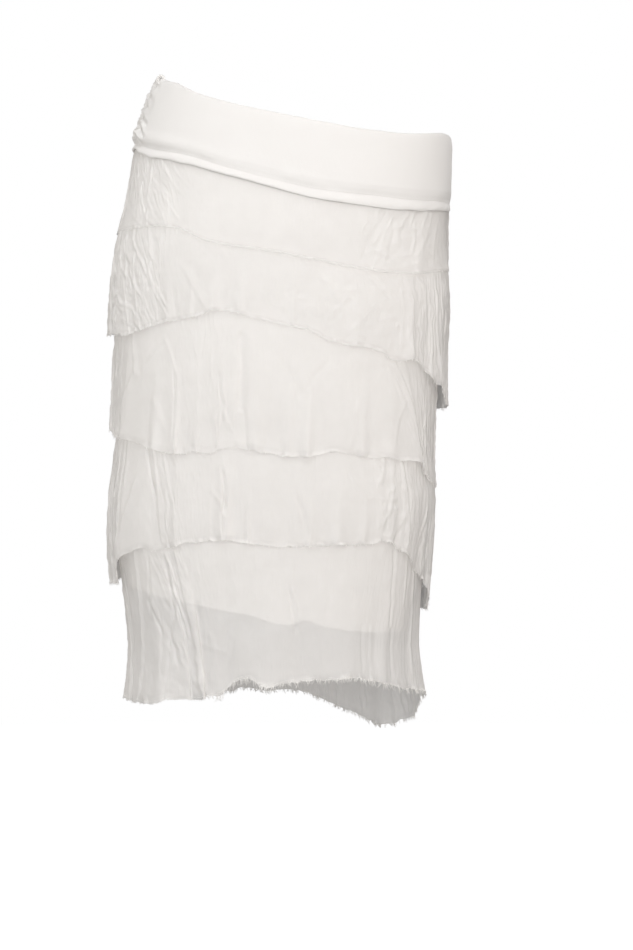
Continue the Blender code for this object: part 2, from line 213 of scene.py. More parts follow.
def read_round(rows, column, angle):
    """Read a column of a table of angles that closes on itself."""
    before = tuple((row[0] - 360, *row[1:]) for row in rows[-3:])
    after = tuple((row[0] + 360, *row[1:]) for row in rows[:3])
    return read_smoothly(before + tuple(rows) + after, column, around(angle))


def on_body(angle, height, stand_off, slide=0.0):
    """Points outside the body line, slid sideways along it, in millimetres."""
    centre, half_width, half_depth = (read_smoothly(BODY_LINE, k, height) for k in (1, 2, 3))
    sine, cosine = np.sin(np.radians(angle)), np.cos(np.radians(angle))
    sideways_x, sideways_y = half_width * cosine, half_depth * sine
    length = np.hypot(sideways_x, sideways_y)
    x = centre + (half_width + stand_off) * sine + slide * sideways_x / length
    y = -(half_depth + stand_off) * cosine + slide * sideways_y / length
    return np.stack(np.broadcast_arrays(x, y, height), axis=-1)


def millimetres_per_degree(angle, height):
    """How far apart on the body line two points one degree apart are."""
    half_width, half_depth = (read_smoothly(BODY_LINE, k, height) for k in (2, 3))
    turn = np.radians(angle)
    return np.radians(np.hypot(half_width * np.cos(turn), half_depth * np.sin(turn)))


def soft_noise(turn, along, cells, seed):
    """Smooth unevenness from -1 to 1: turn is a share of the way round, along is in cells."""
    knots = np.random.default_rng(seed).uniform(-1.0, 1.0, (cells, 89))
    across, along = np.broadcast_arrays(turn * cells, along)
    column, row = np.floor(across).astype(int), np.floor(along).astype(int)
    u, v = across - column, along - row
    u, v = u * u * (3 - 2 * u), v * v * (3 - 2 * v)
    corners = [knots[(column + i) % cells, (row + j) % 89] for i in (0, 1) for j in (0, 1)]
    near = corners[0] + (corners[2] - corners[0]) * u
    far = corners[1] + (corners[3] - corners[1]) * u
    return near + (far - near) * v


def hill(away, width):
    """A smooth rise, 1 in its middle, that falls away over its width."""
    return np.exp(-((away / width) ** 2))


def raise_cloth(points, relief):
    """Move a ring of cloth out along its own normal."""
    down = np.gradient(points, axis=0)
    across = np.roll(points, -1, axis=1) - np.roll(points, 1, axis=1)
    outward = np.cross(down, across)
    outward /= np.linalg.norm(outward, axis=2, keepdims=True)
    return points + outward * relief[..., None]


def hang_up(name, mesh, cloth):
    """A finished mesh as a piece of the skirt."""
    mesh.shade_smooth()
    mesh.materials.append(cloth)
    piece = bpy.data.objects.new(name, mesh)
    scene.collection.objects.link(piece)
    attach(piece, "root")
    return piece


def sew_ring(name, points, cut, gather, cloth):
    """A ring of cloth from rows of points in millimetres. Its UV map is the flat cut in metres."""
    rows, columns, _ = points.shape
    row, column = np.mgrid[0 : rows - 1, 0:columns]
    after = (column + 1) % columns
    corners = np.stack(
        [row * columns + column, (row + 1) * columns + column,
         (row + 1) * columns + after, row * columns + after], axis=-1
    ).reshape(-1, 4)
    across = np.stack([column, column, column + 1, column + 1], axis=-1) / columns * cut[0]
    along = np.stack([row, row + 1, row + 1, row], axis=-1) / (rows - 1) * -cut[1]
    mesh = bpy.data.meshes.new(name)
    mesh.from_pydata((points.reshape(-1, 3) * MM).tolist(), [], corners.tolist())
    grain = mesh.uv_layers.new(name="cut")
    grain.data.foreach_set("uv", np.stack([across, along], axis=-1).astype(np.float32).ravel())
    gathered = mesh.attributes.new("gather", "FLOAT", "POINT")
    gather = np.broadcast_to(gather, (rows, columns)).astype(np.float32)
    gathered.data.foreach_set("value", gather.ravel())
    return hang_up(name, mesh, cloth)


def waves(tree, count):
    """The height of rounded threads side by side, from 0 to 1: count is how many there are."""
    return reckon(tree, "ABSOLUTE", reckon(tree, "SINE", reckon(tree, "MULTIPLY", count, math.pi)))


# The grain of a cloth, for jersey, chiffon and yarn alike. Threads is the height of its threads
# or stitches, Streaks are uneven yarns along the grain, and Clouds is the unevenness of the cloth.
grain = bpy.data.node_groups.new("cloth_grain", "ShaderNodeTree")
for socket, value in (
    ("Pitch Across", 0.0008),
    ("Pitch Along", 0.0008),
    ("Stitch Slant", 0.0),
    ("Streak Width", 0.002),
    ("Streak Length", 0.02),
    ("Cloud Size", 0.03),
):
    made = grain.interface.new_socket(socket, in_out="INPUT", socket_type="NodeSocketFloat")
    made.default_value = value
for socket in ("Threads", "Streaks", "Clouds"):
    grain.interface.new_socket(socket, in_out="OUTPUT", socket_type="NodeSocketFloat")
given = grain.nodes.new("NodeGroupInput").outputs
cut_map = add_node(grain, "UVMap", uv_map="cut")
split = add_node(grain, "SeparateXYZ", {"Vector": cut_map.outputs["UV"]}).outputs
warp = waves(grain, reckon(grain, "DIVIDE", split["X"], given["Pitch Across"]))
weft = reckon(grain, "DIVIDE", split["Y"], given["Pitch Along"])
weft = waves(grain, reckon(grain, "MULTIPLY_ADD", warp, given["Stitch Slant"], weft))
threads = reckon(grain, "MULTIPLY_ADD", warp, 0.5, reckon(grain, "MULTIPLY", weft, 0.5))
streak_places = {
    "X": reckon(grain, "DIVIDE", split["X"], given["Streak Width"]),
    "Y": reckon(grain, "DIVIDE", split["Y"], given["Streak Length"]),
}
streak_noise = {
    "Vector": add_node(grain, "CombineXYZ", streak_places).outputs["Vector"],
    "Scale": 1.0, "Detail": 3.0, "Roughness": 0.6, "Distortion": 0.6,
}
cloud_noise = {
    "Vector": add_node(grain, "TexCoord").outputs["Object"],
    "Scale": reckon(grain, "DIVIDE", 1.0, given["Cloud Size"]), "Detail": 3.0, "Roughness": 0.55,
}
heights = {
    "Threads": threads,
    "Streaks": add_node(grain, "TexNoise", streak_noise).outputs["Fac"],
    "Clouds": add_node(grain, "TexNoise", cloud_noise).outputs["Fac"],
}
set_inputs(grain, grain.nodes.new("NodeGroupOutput"), heights)


def start_cloth(name, light, shade, sheen, sizes):
    """A cloth's material: its grain, its colour between a light and a shade, and its sheen."""
    material = bpy.data.materials.new(name)
    material.use_nodes = True
    tree = material.node_tree
    group = tree.nodes.new("ShaderNodeGroup")
    group.node_tree = grain
    set_inputs(tree, group, sizes)
    tone = reckon(tree, "MULTIPLY_ADD", group.outputs["Threads"], 0.4, -0.1)
    tone = reckon(tree, "MULTIPLY_ADD", group.outputs["Clouds"], 0.8, tone)
    colours = {"Factor": tone, "A": (*shade, 1.0), "B": (*light, 1.0)}
    colour = add_node(tree, "Mix", colours, data_type="RGBA").outputs["Result"]
    shader = tree.nodes["Principled BSDF"]
    surface = {"Base Color": colour, "Specular IOR Level": 0.25, "Sheen Roughness": 0.5}
    set_inputs(tree, shader, {**surface, "Sheen Weight": sheen})
    return material, tree, shader, group.outputs


jersey, tree, shader, grained = start_cloth(
    "white_jersey", JERSEY_WHITE, JERSEY_SHADE, 0.45,
    {"Pitch Across": 0.0011, "Pitch Along": 0.0009, "Stitch Slant": 0.55,
     "Streak Width": 0.004, "Streak Length": 0.05, "Cloud Size": 0.045},
)
height = reckon(tree, "MULTIPLY_ADD", grained["Streaks"], 0.8, grained["Threads"])
bump = add_node(tree, "Bump", {"Strength": 0.35, "Distance": 0.00025, "Height": height})
# Thin jersey hides what is behind it but lets some of the light through.
passing = add_node(tree, "LightPath").outputs["Is Shadow Ray"]
surface = {
    "Normal": bump.outputs["Normal"],
    "Roughness": reckon(tree, "MULTIPLY_ADD", grained["Clouds"], 0.12, 0.76),
    "Alpha": reckon(tree, "MULTIPLY_ADD", passing, -JERSEY_LETS_THROUGH, 1.0),
}
set_inputs(tree, shader, surface)

angles, turns = go_round(SLIP_COLUMNS)
levels = np.linspace(0.0, 1.0, SLIP_ROWS)[:, None]
slip_top = read_round(YOKE_EDGES, 2, angles) + SLIP_TUCK
slip_hem = read_round(SLIP_HEM, 1, angles) + 0.5 * soft_noise(turns, 0.0, 120, 3)
height = slip_top + (slip_hem - slip_top) * levels
slack = 0.15 * soft_noise(turns, height / 60.0, 22, 4) + 0.1 * soft_noise(turns, height / 25.0, 60, 5)
curl = SLIP_CURL * np.clip((levels - 0.993) / 0.007, 0.0, 1.0) ** 2
side_seams = sum(
    SLIP_SEAM_HEIGHT * hill(around(angles - seam) * SIDE_MM_PER_DEGREE, 1.6)
    for seam in (RUCHED_SEAM, PLAIN_SEAM)
)
slip_points = raise_cloth(on_body(angles, height, SLIP_STAND_OFF), slack + curl + side_seams)
slip = sew_ring("slip", slip_points, SLIP_CUT, 0.0, jersey)
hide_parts("slip_front", "slip_back")

# --------------------------------------------------------------
# The five tiers: bands of crinkled sheer silk chiffon, cut straight across, gathered a little and
# sewn to the slip one under another. Their lower edges are torn, so that the weft frays away.
# --------------------------------------------------------------
SEWN_STAND_OFF = 2.35
ROLL_STAND_OFF = 1.0  # further still where tier 1 comes out from under the roll
ROLL_OVERLAP = 0.9
CLEARANCE = 1.3
FRONT_PRESS = 0.4
HANG_POWER = 1.4
FOLD_GROWTH = 1.3
FLAT_EDGE = 0.12
CURLED_EDGE = 0.04
GIRTH = 880.0
FURROW = 0.35
CREASE_END = 4.5
SIDE_SEAM_HEIGHT = 0.5
TUFTS_ROUND = 170.0
TUFT_REACH = 4.6
STITCHES_ROUND = 260
STITCH_ROWS = (1.5, 6.0)  # below the sewing line
STITCH_THICKNESS = 0.42
CHIFFON_WHITE = (0.93, 0.922, 0.912)
CHIFFON_SHADE = (0.88, 0.87, 0.857)
YARN_SHADE = (0.88, 0.87, 0.85)
CHIFFON_LETS_THROUGH = 0.42

# The line each tier is sewn to the slip on: its middle height, its rise to the wearer's right and
# its rise to the front. The first tier is sewn on under the yoke's roll instead.
SEWING_LINES = {2: (-82, 18, 0), 3: (-178, 25, 22), 4: (-290, 26, 14), 5: (-392, 8, 24)}

# Each tier's columns and rows of points, and the width and length of its flat cut in metres.
TIER_CUTS = {
    1: (1100, 48, 0.96, 0.105),
    2: (1180, 62, 1.00, 0.150),
    3: (1180, 62, 1.00, 0.145),
    4: (1180, 62, 1.00, 0.145),
    5: (1180, 74, 0.98, 0.180),
}

# Each tier's hem: angle, height, stand-off.
TIER_HEMS = {
    1: (
        (-135, -89, 5), (-90, -86, 2.6), (-52, -84, 4), (-36, -88, 4), (-26, -100, 4), (5, -116, 4),
        (26, -127, 4), (49, -131, 4), (80, -124, 4), (120, -122, 5), (180, -116, 6),
    ),
    2: (
        (-150, -208, 9), (-120, -189, 10), (-90, -188, 11), (-61, -191, 8), (-46, -182, 6),
        (-30, -176, 5.5), (-22, -170, 5.5), (-12, -174, 5.5), (-5, -180, 5.5), (10, -189, 5.5),
        (19, -201, 5.5), (36, -208, 5.5), (45, -219, 6), (54, -218, 7), (67, -237, 12), (78, -250, 12),
        (90, -262, 13), (120, -262, 12), (150, -250, 10), (180, -238, 9),
    ),
    3: (
        (-130, -318, 8), (-90, -287, 7), (-74, -293, 8), (-59, -296, 7), (-48, -304, 6),
        (-34, -310, 5.5), (-21, -308, 5.5), (-13, -303, 5.5), (-7, -309, 5.5), (14, -314, 5.5),
        (22, -310, 5.5), (36, -313, 5.5), (50, -318, 6), (61, -319, 7), (71, -334, 6), (78, -340, 3.5),
        (95, -346, 4.5), (130, -352, 9), (180, -343, 9),
    ),
    4: (
        (-140, -441, 11), (-108, -441, 12), (-88, -441, 14), (-74, -440, 12), (-67, -417, 11),
        (-60, -408, 9), (-45, -406, 6.5), (-30, -399, 5.5), (-10, -396, 5.5), (4, -403, 5.5),
        (14, -400, 5.5), (37, -401, 5.5), (45, -399, 6), (57, -410, 7), (66, -424, 8), (78, -436, 9),
        (88, -459, 14), (100, -468, 19), (115, -469, 16), (180, -462, 9),
    ),
    5: (
        (-150, -561, 11), (-120, -563, 11), (-90, -557, 11), (-65, -561, 10), (-45, -556, 9),
        (-28, -552, 8), (-20, -547, 7), (-9, -532, 7), (0, -540, 7), (10, -536, 7), (28, -533, 7),
        (45, -537, 8), (63, -544, 12), (78, -548, 18), (90, -553, 21), (110, -579, 19), (128, -591, 15),
        (147, -580, 12), (168, -559, 11),
    ),
}

# How far each tier's hem falls back on the tier under it: at the sides, and more in front.
TIER_RESTS = {1: (1.7, 1.0), 2: (2.0, 2.4), 3: (2.0, 2.4), 4: (1.8, 2.6), 5: (0.0, 0.0)}

# Where a hem stands away from what it covers: angle, width, lift.
TIER_LIFTS = {
    1: ((-47, 6, 1.0), (-34, 6, 0.8), (38, 6, 0.8), (54, 7, 0.9)),
    2: (
        (-40, 5, 2.4), (-31, 3, 1.6), (-22, 6, 3.6), (-13, 5, 3), (5, 4, 1.4), (28, 7, 2.2),
        (52, 8, 2.6),
    ),
    3: (
        (-46, 6, 4.2), (-37, 5, 3.8), (-28, 4, 2.6), (-6, 8, 4.6), (5, 5, 3.2), (12, 5, 4.2),
        (33, 6, 2.2), (46, 8, 2.8),
    ),
    4: (
        (-36, 5, 3.2), (-16, 7, 5.6), (-8, 3, 2.6), (14, 5, 2.8), (24, 7, 3.6), (35, 5, 2.8), (47, 7, 3),
    ),
    5: (),
}

# Each tier's gathers at its hem: angle, width, depth (below 0 it is a trough), lean, drift (how
# many degrees it wanders from the top to the hem).
TIER_FOLDS = {
    1: (
        (-163, 10, 2.4, 2, 2), (-141, 8, -1.8, 0, 0), (-118, 10, 2.4, 0, -2), (-88, 8, 1.8, 2, 0),
        (-66, 6, 1.6, 2, 4), (-50, 6, 1.4, 2, 6), (-27, 7, -1, 0, 5), (12, 14, 1, 0, 0),
        (44, 7, 1.6, -3, -10), (60, 6, 1.6, -2, -6), (80, 7, 2, 0, 0), (114, 10, 2.4, 2, 2),
        (135, 9, -1.8, 0, 0), (158, 10, 2.6, -2, 0),
    ),
    2: (
        (-166, 10, 4, 3, 0), (-146, 9, -3.2, 0, 2), (-126, 11, 4.4, -2, 0), (-102, 10, 3.2, 2, 0),
        (-76, 8, 0.8, 3, 3), (-62, 7, -1.4, 0, 3), (-47, 7, -1, 0, 2), (-28, 9, 2, 2, 3),
        (-6, 10, -1.3, 0, 0), (20, 12, 1.8, -2, 0), (47, 6, 2.6, 3, 4), (60, 6, -2.6, 0, 2),
        (72, 7, 3, 2, 0), (90, 9, 3.2, -2, 0), (112, 8, -3, 0, 0), (130, 10, 4.4, 2, 0),
        (151, 11, 4, 3, -2), (173, 9, -3.2, 0, 0),
    ),
    3: (
        (-168, 11, 4.2, 3, 0), (-149, 9, -3.2, 0, -2), (-130, 10, 4.2, 2, 0), (-108, 10, 3.6, -2, 0),
        (-86, 8, 2.8, 0, 0), (-61, 6, 2.6, -4, -5), (-42, 6, 1.9, 3, 4), (-20, 5, 1.8, 0, 0),
        (-12, 5, -1.9, 0, 1), (10, 13, 1.3, 0, 0), (32, 8, -1.2, 0, 6), (46, 6, 2.8, 4, 16),
        (68, 7, -2.4, 0, 6), (88, 8, 1.2, 2, 0), (112, 9, -3, 0, 0), (131, 11, 4.4, -3, 2),
        (152, 10, 3.8, 3, 0), (172, 9, -3, 0, 0),
    ),
    4: (
        (-170, 10, -3.2, 0, 0), (-152, 11, 4.4, 3, 2), (-132, 9, -3, 0, 0), (-112, 11, 4.2, 0, 0),
        (-90, 8, 3.4, 2, 0), (-65, 7, 3, -4, -4), (-51, 5, -2, 0, 6), (-36, 9, 1.6, 0, 3),
        (-18, 5, 2.2, 2, 0), (2, 10, -1.3, 0, 3), (24, 12, 1.5, 0, 0), (40, 6, 2.2, 3, 2),
        (50, 5, -2.4, 0, 2), (58, 4, 2, 0, 0), (68, 7, -3.6, 0, 2), (86, 9, 4, -3, 0),
        (118, 9, -3, 0, 0), (131, 11, 4.4, 3, 0), (155, 12, 4, -3, 0),
    ),
    5: (
        (-173, 12, 4.6, 3, 0), (-151, 10, -3.6, 0, 0), (-131, 11, 4.6, -3, 2), (-110, 9, -3, 0, 0),
        (-90, 9, 3.6, 2, 0), (-72, 8, -1, 0, 2), (-55, 6, 3, 4, 5), (-44, 5, 3.2, 6, 9),
        (-35, 5, 3.8, 7, 6), (-17, 8, -2.6, 0, 0), (-2, 14, 2.2, 0, 0), (13, 13, -2.6, 0, 0),
        (32, 19, 3.2, 0, 0), (53, 6, 2.8, 3, -2), (68, 6, -2.6, 0, 5), (84, 8, 3.6, 3, 4),
        (109, 10, 4.2, -3, 2), (128, 9, -3.6, 0, 0), (147, 12, 4.8, 3, 0), (167, 9, -3.2, 0, 0),
    ),
}

# Each tier's creases: the angle and height of the upper end and of the lower end, bow (how far
# the middle swings towards the wearer's left), the reach of the slope on its right and left
# side, and depth (below 0 it is a trough).
TIER_CREASES = {
    1: (
        (-69, -8, -71, -49, 1, 1, 1.3, 0.5), (-63, -12, -68, -83, 2, 1, 1.2, 0.5),
        (-59, -14, -59, -78, 2, 1.1, 1.3, 0.5), (-58, -30, -54, -84, -2, 1, 1.2, 0.4),
        (-53, -18, -41, -50, 0, 1.1, 1.3, 0.35), (-55, -26, -45, -52, -1, 1, 1.3, -0.3),
        (-57, -36, -40, -74, 1, 1.1, 1.3, 0.45), (-50, -26, -42, -62, 1, 1, 1.2, 0.3),
        (-48, -20, -38, -44, 0, 1, 1.2, 0.3), (37, -74, 29, -114, -1, 1.2, 2.6, -0.4),
        (41, -84, 40, -106, 2, 1.6, 2.6, -0.4), (46, -76, 44, -102, -2, 3, 2.2, 0.5),
        (52, -84, 51, -104, 2, 2, 1.8, 0.4), (60, -92, 54, -110, 1, 2.6, 2.6, 0.5),
        (34, -110, 41, -118, 1, 2.4, 3, 0.5), (67, -84, 64, -120, 0, 1.6, 2.2, 0.3),
    ),
    2: (
        (-69, -98, -64, -146, 2, 1.1, 1.4, 0.6), (-62, -96, -42, -160, 1, 1.2, 1.5, 0.75),
        (-57, -112, -41, -172, 1, 1.2, 1.4, 0.6), (-60, -106, -54, -184, -2, 1.2, 1.5, 0.5),
        (-51, -138, -60, -176, 1, 1.1, 1.4, 0.45), (-50, -128, -45, -184, 1, 1.1, 1.4, 0.5),
        (-66, -140, -61, -190, 1, 1.2, 1.5, 0.6), (-75, -120, -73, -190, 2, 1.2, 1.5, 0.6),
        (-33, -130, -24, -172, -1, 1.8, 4.5, 0.6), (-38, -150, -36, -182, 0, 1.6, 2.4, -0.6),
        (-14, -132, -17, -150, 2, 2.2, 3, 0.3), (6, -150, 2, -168, -2, 2, 3, 0.3),
        (14, -138, 20, -160, 3, 2, 3, 0.4), (24, -150, 17, -176, 2, 2, 3.4, 0.4),
        (30, -130, 38, -150, -2, 2, 3, 0.4), (33, -164, 25, -190, 1, 1.8, 3, 0.3),
        (47, -126, 57, -142, 1, 1.6, 2.4, 0.5), (45, -150, 47, -206, 1, 1.5, 2.2, 0.5),
        (50, -158, 52, -214, -1, 1.4, 2, 0.4), (58, -150, 62, -228, 1, 1.4, 1.9, 0.6),
        (66, -150, 72, -236, -1, 1.4, 1.9, 0.7), (76, -140, 78, -240, 1, 1.5, 2, 0.6),
    ),
    3: (
        (-21, -236, -19, -300, -1, 1.8, 3.2, -0.6), (-16, -268, -19, -304, 1, 1.8, 3, -0.6),
        (-61, -190, -59, -228, 0, 1.2, 3.4, 0.8), (-59, -224, -75, -291, 1, 1.2, 4, 1),
        (-44, -198, -51, -213, 0, 1.6, 2, 0.5), (-42, -200, -38, -224, 0, 1.6, 2.2, 0.5),
        (-38, -234, -38, -306, 1, 1.2, 2.2, -1), (-47, -258, -42, -284, 0, 1.8, 2.6, 0.5),
        (-20, -236, -18, -292, 1, 1.3, 2, -1.1), (-20, -262, -24, -296, -1, 1.6, 2.2, 0.6),
        (-18, -268, -13, -294, -1, 1.4, 2.2, 0.8), (-23, -208, -23, -232, 0, 1.6, 2, 0.4),
        (-12, -196, -12, -304, 0, 3, 4, -1.5), (3, -224, 8, -250, 1, 2.6, 3.4, -0.45),
        (8, -248, 8, -276, 0, 2.4, 3, -0.45), (18, -220, 10, -250, -1, 2.6, 3.6, -0.45),
        (30, -262, 28, -300, 1, 2.2, 3.2, 0.4), (44, -230, 52, -264, 2, 2.2, 1.4, 0.6),
        (52, -260, 48, -298, -2, 2.2, 1.4, 0.6), (46, -222, 65, -312, 2, 3.4, 1.3, 1),
        (65, -250, 69, -314, 1, 1.3, 1.8, 0.7), (70, -234, 64, -312, 1, 1.3, 1.8, 0.7),
        (78, -238, 80, -334, 1, 1.4, 1.9, 0.7),
    ),
    4: (
        (-20, -328, -21, -394, -1, 1.8, 3.6, -0.8), (-12, -330, -13, -380, 1, 2, 3.4, -0.5),
        (-52, -300, -46, -352, 0, 1.2, 2.6, -1.3), (-46, -348, -45, -404, 0, 1.2, 2.6, -1.3),
        (-48, -304, -44, -344, 0, 1.2, 1.8, 0.7), (-42, -318, -38, -354, 1, 1.4, 1.8, 0.6),
        (-40, -352, -40, -386, 0, 1.2, 1.8, 0.6), (-18, -328, -17, -362, 1, 1.4, 2.4, -1.3),
        (-17, -358, -17, -392, -1, 1.4, 2.6, -1.4), (-21, -350, -17, -370, 1, 1.6, 2.2, 0.7),
        (-57, -338, -70, -406, 1, 1.2, 4, 1.1), (-66, -300, -66, -386, 0, 1.4, 2.2, -0.8),
        (-73, -304, -76, -404, 1, 1.4, 2.2, 0.8), (43, -318, 41, -336, 1, 2, 2.6, 0.6),
        (48, -324, 47, -346, -1, 2, 2.6, 0.7), (47, -354, 43, -378, 1, 2, 2.6, 0.6),
        (55, -366, 50, -392, 1, 1.8, 2.6, 0.7), (53, -322, 58, -410, 1, 3, 1.3, 0.9),
        (73, -366, 67, -408, 1, 1.4, 2, 0.7), (80, -330, 78, -420, -1, 1.4, 2, 0.7),
        (9, -356, 13, -390, 1, 2.2, 3, -0.6), (28, -330, 33, -352, 1, 3, 4, 0.5),
    ),
    5: (
        (-61, -410, -67, -556, 1, 1.4, 3.2, 1), (-52, -420, -55, -464, 0, 1.3, 2.4, -0.9),
        (-55, -460, -49, -486, 0, 1.3, 2.4, -1), (-49, -484, -50, -530, 1, 2, 3, -0.6),
        (-43, -416, -41, -470, 1, 1.3, 2.2, -1.3), (-41, -466, -44, -496, 0, 1.3, 2.2, -1.2),
        (-43, -492, -40, -518, 0, 1.3, 2.2, -1.1), (-37, -412, -33, -470, 0, 1.2, 4.5, 1.3),
        (-33, -466, -30, -536, 0, 1.2, 4.5, 2), (-30, -532, -28, -556, 0, 1.2, 4.5, 1.8),
        (-39, -452, -34, -490, 1, 1.1, 1.5, 0.6), (-40, -440, -36, -480, 1, 1.1, 1.5, 0.5),
        (-39, -498, -30, -542, 0, 1.2, 1.8, 0.7), (-44, -512, -47, -552, 0, 1.4, 2, -0.7),
        (7, -446, 10, -484, 1, 1.6, 2.4, -0.9), (52, -410, 54, -480, 0, 1.4, 2.4, -0.8),
        (56, -490, 58, -532, 0, 1.4, 2.2, -0.6), (62, -412, 63, -460, 0, 1.4, 2, 0.6),
        (39, -484, 41, -538, 0, 1.6, 2.2, -0.5), (44, -486, 46, -538, 0, 1.6, 2.2, 0.5),
        (-24, -490, -23, -514, 1, 2, 2.6, 0.6), (-27, -500, -19, -506, 0, 2, 2.6, 0.5),
        (-16, -490, -18, -512, 0, 2, 2.6, 0.5), (70, -430, 76, -530, 1, 1.6, 2.4, 0.7),
    ),
}

# The creases on the sides and the back, which every tier has alike: the angle of the upper end
# and of the lower end, the level of each, bow, right and left slope, and depth.
HIDDEN_CREASES = (
    (88, 90, 0.1, 0.8, 1, 1.4, 2, 1.2), (96, 93, 0.3, 1, -1, 1.3, 2.2, -1.3),
    (107, 112, 0, 0.7, 2, 1.4, 2.4, 1.1), (117, 113, 0.4, 1, 0, 1.6, 3.6, 1.6),
    (126, 131, 0.1, 0.6, -1, 1.4, 2.2, -1.2), (138, 134, 0.2, 0.9, 2, 1.3, 2, 1),
    (146, 150, 0.5, 1, 0, 1.4, 4, 1.8), (158, 154, 0, 0.5, -2, 1.8, 2.6, 0.9),
    (167, 170, 0.3, 1, 1, 1.4, 2.4, -1.4), (178, 174, 0.1, 0.7, 1, 1.6, 2.4, 0.9),
    (-172, -176, 0.5, 1, 0, 1.3, 3.8, 1.7), (-163, -158, 0.1, 0.8, -2, 1.4, 2.2, -1.1),
    (-151, -154, 0.3, 1, 1, 1.4, 2.2, 1.2), (-141, -136, 0, 0.6, 1, 1.6, 2.4, 0.9),
    (-131, -134, 0.4, 1, -1, 3.4, 1.4, 1.6), (-122, -118, 0.2, 0.9, 1, 1.3, 2, -1.2),
    (-111, -114, 0.1, 0.7, 0, 1.4, 2, 1), (-101, -97, 0.3, 1, 1, 1.4, 2.2, 1.3),
    (-92, -94, 0, 0.8, -1, 1.3, 2, -1), (-84, -81, 0.4, 1, 0, 1.4, 2, 1.2),
)

# How crinkled each tier is: angle, height of the upright crinkles, slant (how far they run
# towards the wearer's left for each millimetre that they fall), height of the crumples.
TIER_CRINKLES = {
    1: (
        (-150, 1, 0, 0.2), (-95, 1.2, 0.05, 0.2), (-72, 1.3, 0.2, 0.2), (-58, 1.2, 0.45, 0.2),
        (-47, 0.9, 0.55, 0.15), (-40, 0.3, 0.5, 0.1), (-30, 0.12, 0.1, 0.05), (22, 0.1, 0, 0.05),
        (34, 0.12, -0.3, 0.25), (52, 0.15, -0.2, 0.3), (68, 0.2, -0.1, 0.15), (100, 0.9, 0, 0.15),
        (150, 1, 0, 0.2),
    ),
    2: (
        (-150, 1.1, 0, 0.2), (-95, 1.4, 0.05, 0.2), (-72, 1.5, 0.2, 0.3), (-57, 1.5, 0.45, 0.3),
        (-46, 1.2, 0.4, 0.25), (-41, 0.4, 0.2, 0.1), (-30, 0.2, 0.1, 0.1), (-12, 0.15, 0, 0.1),
        (8, 0.15, 0, 0.2), (34, 0.18, 0, 0.22), (50, 0.4, 0.05, 0.25), (62, 0.9, 0.1, 0.2),
        (80, 1.4, 0.05, 0.15), (110, 1.4, 0, 0.2), (150, 1.1, 0, 0.2),
    ),
    3: (
        (-150, 1.1, 0, 0.2), (-95, 1.4, 0, 0.2), (-74, 1.2, -0.1, 0.2), (-64, 0.5, -0.1, 0.1),
        (-56, 0.25, -0.1, 0.1), (-38, 0.4, 0.1, 0.1), (-22, 0.5, 0, 0.15), (-10, 0.14, 0, 0.05),
        (25, 0.12, 0, 0.05), (42, 0.22, 0.15, 0.15), (56, 0.35, 0.15, 0.15), (68, 0.9, 0.05, 0.15),
        (100, 1.4, 0, 0.2), (150, 1.1, 0, 0.2),
    ),
    4: (
        (-150, 1.1, 0, 0.2), (-95, 1.4, 0, 0.2), (-74, 1.2, 0, 0.2), (-62, 0.35, -0.1, 0.1),
        (-52, 0.35, 0.1, 0.1), (-40, 0.7, 0.1, 0.15), (-20, 0.25, 0, 0.1), (0, 0.14, 0, 0.05),
        (32, 0.15, 0, 0.1), (44, 0.4, 0, 0.4), (56, 0.7, 0, 0.35), (66, 0.9, 0, 0.2), (100, 1.4, 0, 0.2),
        (150, 1.1, 0, 0.2),
    ),
    5: (
        (-150, 1.1, 0, 0.2), (-95, 1, 0, 0.2), (-70, 0.6, 0, 0.15), (-50, 0.5, 0.1, 0.15),
        (-38, 1.3, 0.2, 0.25), (-30, 0.35, 0.2, 0.15), (-10, 0.16, 0, 0.12), (25, 0.12, 0, 0.05),
        (46, 0.25, 0, 0.05), (60, 0.4, 0, 0.05), (80, 0.7, 0, 0.1), (110, 1.1, 0, 0.2),
        (150, 1.1, 0, 0.2),
    ),
}

# How long the frayed threads are: angle, length.
TIER_FRAYS = {
    1: ((-120, 1.4), (-50, 0.8), (0, 0.7), (45, 0.9), (90, 1.4), (150, 1.6)),
    2: ((-120, 2.2), (-50, 1.2), (0, 1.0), (45, 1.6), (70, 2.4), (150, 2.4)),
    3: ((-120, 2.4), (-60, 1.8), (0, 1.1), (45, 1.4), (75, 2.4), (150, 2.4)),
    4: ((-120, 2.6), (-60, 1.8), (0, 1.4), (45, 2.0), (75, 2.8), (150, 2.6)),
    5: (
        (-120, 2.2), (-80, 1), (-33, 1), (-26, 4.6), (-10, 5.6), (8, 4.4), (30, 3.4), (48, 5), (70, 5),
        (90, 3.6), (150, 3.6),
    ),
}

# How each torn hem frays: threads in a degree, the finest, the thickest, how far they draw together
# in tufts, how much the cloth thins beside the tear, and how ragged the tear is.
TIER_THREADS = {
    1: (0.3, 0.2, 0.34, 0.2, 2.4, 0.35),
    2: (0.7, 0.22, 0.45, 0.3, 1.4, 0.8),
    3: (0.7, 0.22, 0.45, 0.3, 1.0, 1.1),
    4: (1.0, 0.24, 0.5, 0.4, 1.0, 1.1),
    5: (2.7, 0.34, 0.8, 1.0, 0.6, 1.0),
}

